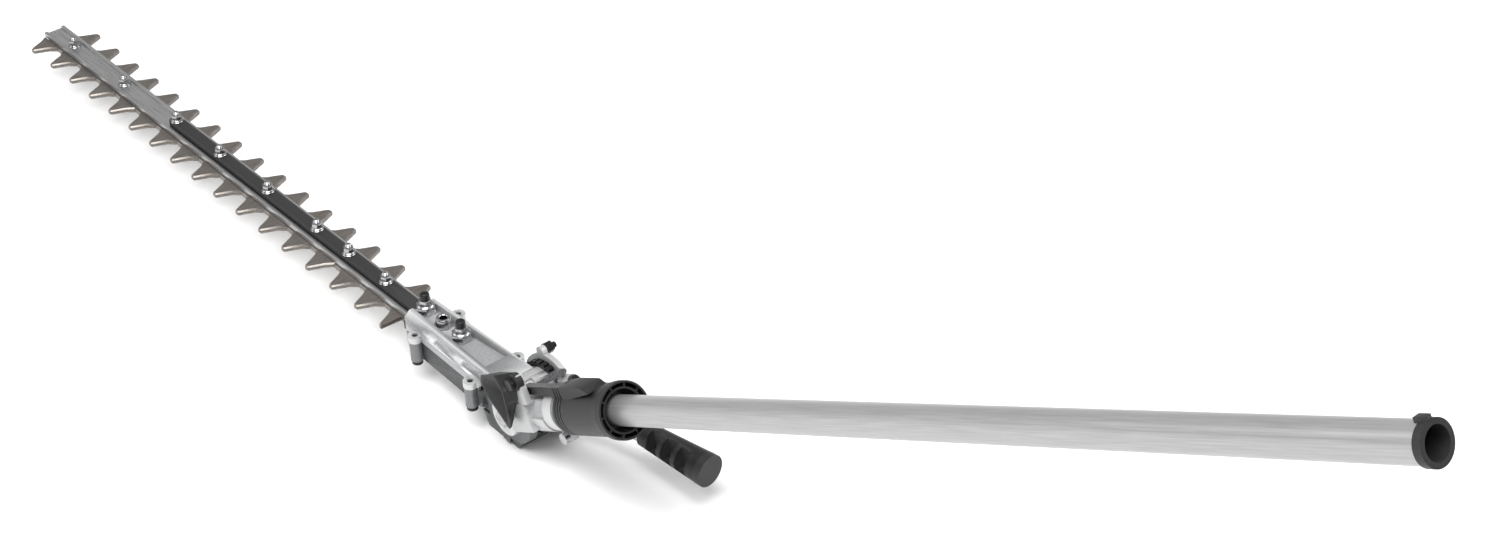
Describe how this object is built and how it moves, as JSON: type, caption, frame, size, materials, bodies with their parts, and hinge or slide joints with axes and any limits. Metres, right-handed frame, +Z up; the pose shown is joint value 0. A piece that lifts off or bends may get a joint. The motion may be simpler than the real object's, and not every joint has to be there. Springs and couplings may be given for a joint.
{
  "type": "long-reach hedge trimmer head",
  "caption": "Articulated long-reach hedge trimmer head: double reciprocating blade on a guide bar, gear case, indexed tilting joint with release sleeve and swivel lever, and drive tube.",
  "frame": {"origin": "on the rest plane under the tilt pivot, on the bottom pad of the gear case", "axes": "+X from the blade's tip towards the tube, along the blade; +Y across the blade, to the lever's side; +Z up, square to the blade and the rest pad"},
  "size_m": [1.4721, 0.0972, 0.4721],
  "materials": {
    "cast_alloy": "die-cast aluminium, fine blasted skin, clear lacquer",
    "sump_alloy": "die-cast aluminium, darker shot-blasted skin",
    "tube_alloy": "drawn aluminium tube, satin anodised",
    "blade_steel": "hardened blade steel, ground",
    "bar_steel": "bright rolled steel bar",
    "bright_fastener": "bright zinc and chrome plated fasteners",
    "black_fastener": "black oxide screws and caps",
    "black_plastic": "glass-filled black polyamide, fine grain",
    "black_strip": "matt black coated steel strip",
    "gear_steel": "case-hardened gear steel, oiled",
    "bearing_bronze": "sintered bronze bushes",
    "spring_steel": "oil-tempered spring steel",
    "rubber": "black nitrile rubber"
  },
  "bodies": {
    "shaft": {"shaft_tube": "tube_alloy", "end_collar": "black_plastic", "tube_bushes": "rubber", "yoke": "cast_alloy", "fork_bushes": "bearing_bronze", "clamp_ring": "cast_alloy", "clamp_bolt": "bright_fastener", "neck_saddle": "cast_alloy", "flange_ring": "cast_alloy", "ear_screw": "black_fastener", "lock_bolt": "black_fastener", "joint_shutter": "cast_alloy", "joint_cover": "black_plastic", "cover_screw": "black_fastener", "pinion_bearing": "gear_steel", "sleeve_spring": "spring_steel", "spring_stop": "spring_steel"},
    "sleeve": {"release_sleeve": "black_plastic", "push_bar": "black_fastener", "lock_pin": "gear_steel"},
    "drive": {"drive_shaft": "gear_steel", "drive_pinion": "gear_steel"},
    "cross": {"cross_gear": "gear_steel"},
    "head_drive": {"head_pinion": "gear_steel"},
    "crank": {"crank_gear": "gear_steel"},
    "head": {"head_pinion_bearing": "gear_steel", "crank_bearings": "gear_steel", "upper_case": "cast_alloy", "lower_case": "sump_alloy", "case_screws": "black_fastener", "pivot_axle": "bright_fastener", "axle_nut": "bright_fastener", "index_ring": "black_fastener", "blade_wiper": "rubber", "grease_boss": "bright_fastener", "guide_bar": "bar_steel", "top_strip": "black_strip", "support_strip": "blade_steel", "bar_spacers": "gear_steel", "bar_bolts": "bright_fastener", "bar_washers": "bright_fastener", "bar_nuts": "bright_fastener", "case_studs": "bright_fastener", "case_nuts": "bright_fastener", "lock_nuts": "bright_fastener", "stud_caps": "black_fastener", "lever": "black_plastic", "lever_bracket": "cast_alloy"},
    "blade_upper": {"upper_blade": "blade_steel"},
    "blade_lower": {"lower_blade": "blade_steel"}
  },
  "joints": [
    {"name": "head_tilt", "type": "hinge", "parent": "shaft", "child": "head", "pos_m": [0, 0, 0.033], "axis": [0, 1, 0], "range_deg": [-80, 40]},
    {"name": "sleeve_slide", "type": "slide", "parent": "shaft", "child": "sleeve", "axis": [0.8678, 0, 0.497], "range_m": [0, 0.01], "stiffness_N_per_m": 800, "springref_m": -0.004, "deforming": ["sleeve_spring"]},
    {"name": "drive_spin", "type": "hinge", "parent": "shaft", "child": "drive", "pos_m": [0, 0, 0.033], "axis": [0.8678, 0, 0.497], "continuous": true},
    {"name": "cross_spin", "type": "hinge", "parent": "head", "child": "cross", "pos_m": [0, 0, 0.033], "axis": [0, 1, 0], "continuous": true},
    {"name": "head_drive_spin", "type": "hinge", "parent": "head", "child": "head_drive", "pos_m": [0, 0, 0.033], "axis": [-1, 0, 0], "continuous": true},
    {"name": "crank_spin", "type": "hinge", "parent": "head", "child": "crank", "pos_m": [-0.05, 0, 0.033], "axis": [0, 0, 1], "continuous": true},
    {"name": "upper_blade_slide", "type": "slide", "parent": "head", "child": "blade_upper", "axis": [1, 0, 0], "range_m": [-0.006, 0.006]},
    {"name": "lower_blade_slide", "type": "slide", "parent": "head", "child": "blade_lower", "axis": [1, 0, 0], "range_m": [-0.006, 0.006]}
  ],
  "couplings": [
    {"joint": "cross_spin", "follows": "drive_spin", "ratio": 0.75},
    {"joint": "head_drive_spin", "follows": "drive_spin", "ratio": -1},
    {"joint": "crank_spin", "follows": "drive_spin", "ratio": 0.5},
    {"joint": "lower_blade_slide", "follows": "upper_blade_slide", "ratio": -1}
  ]
}
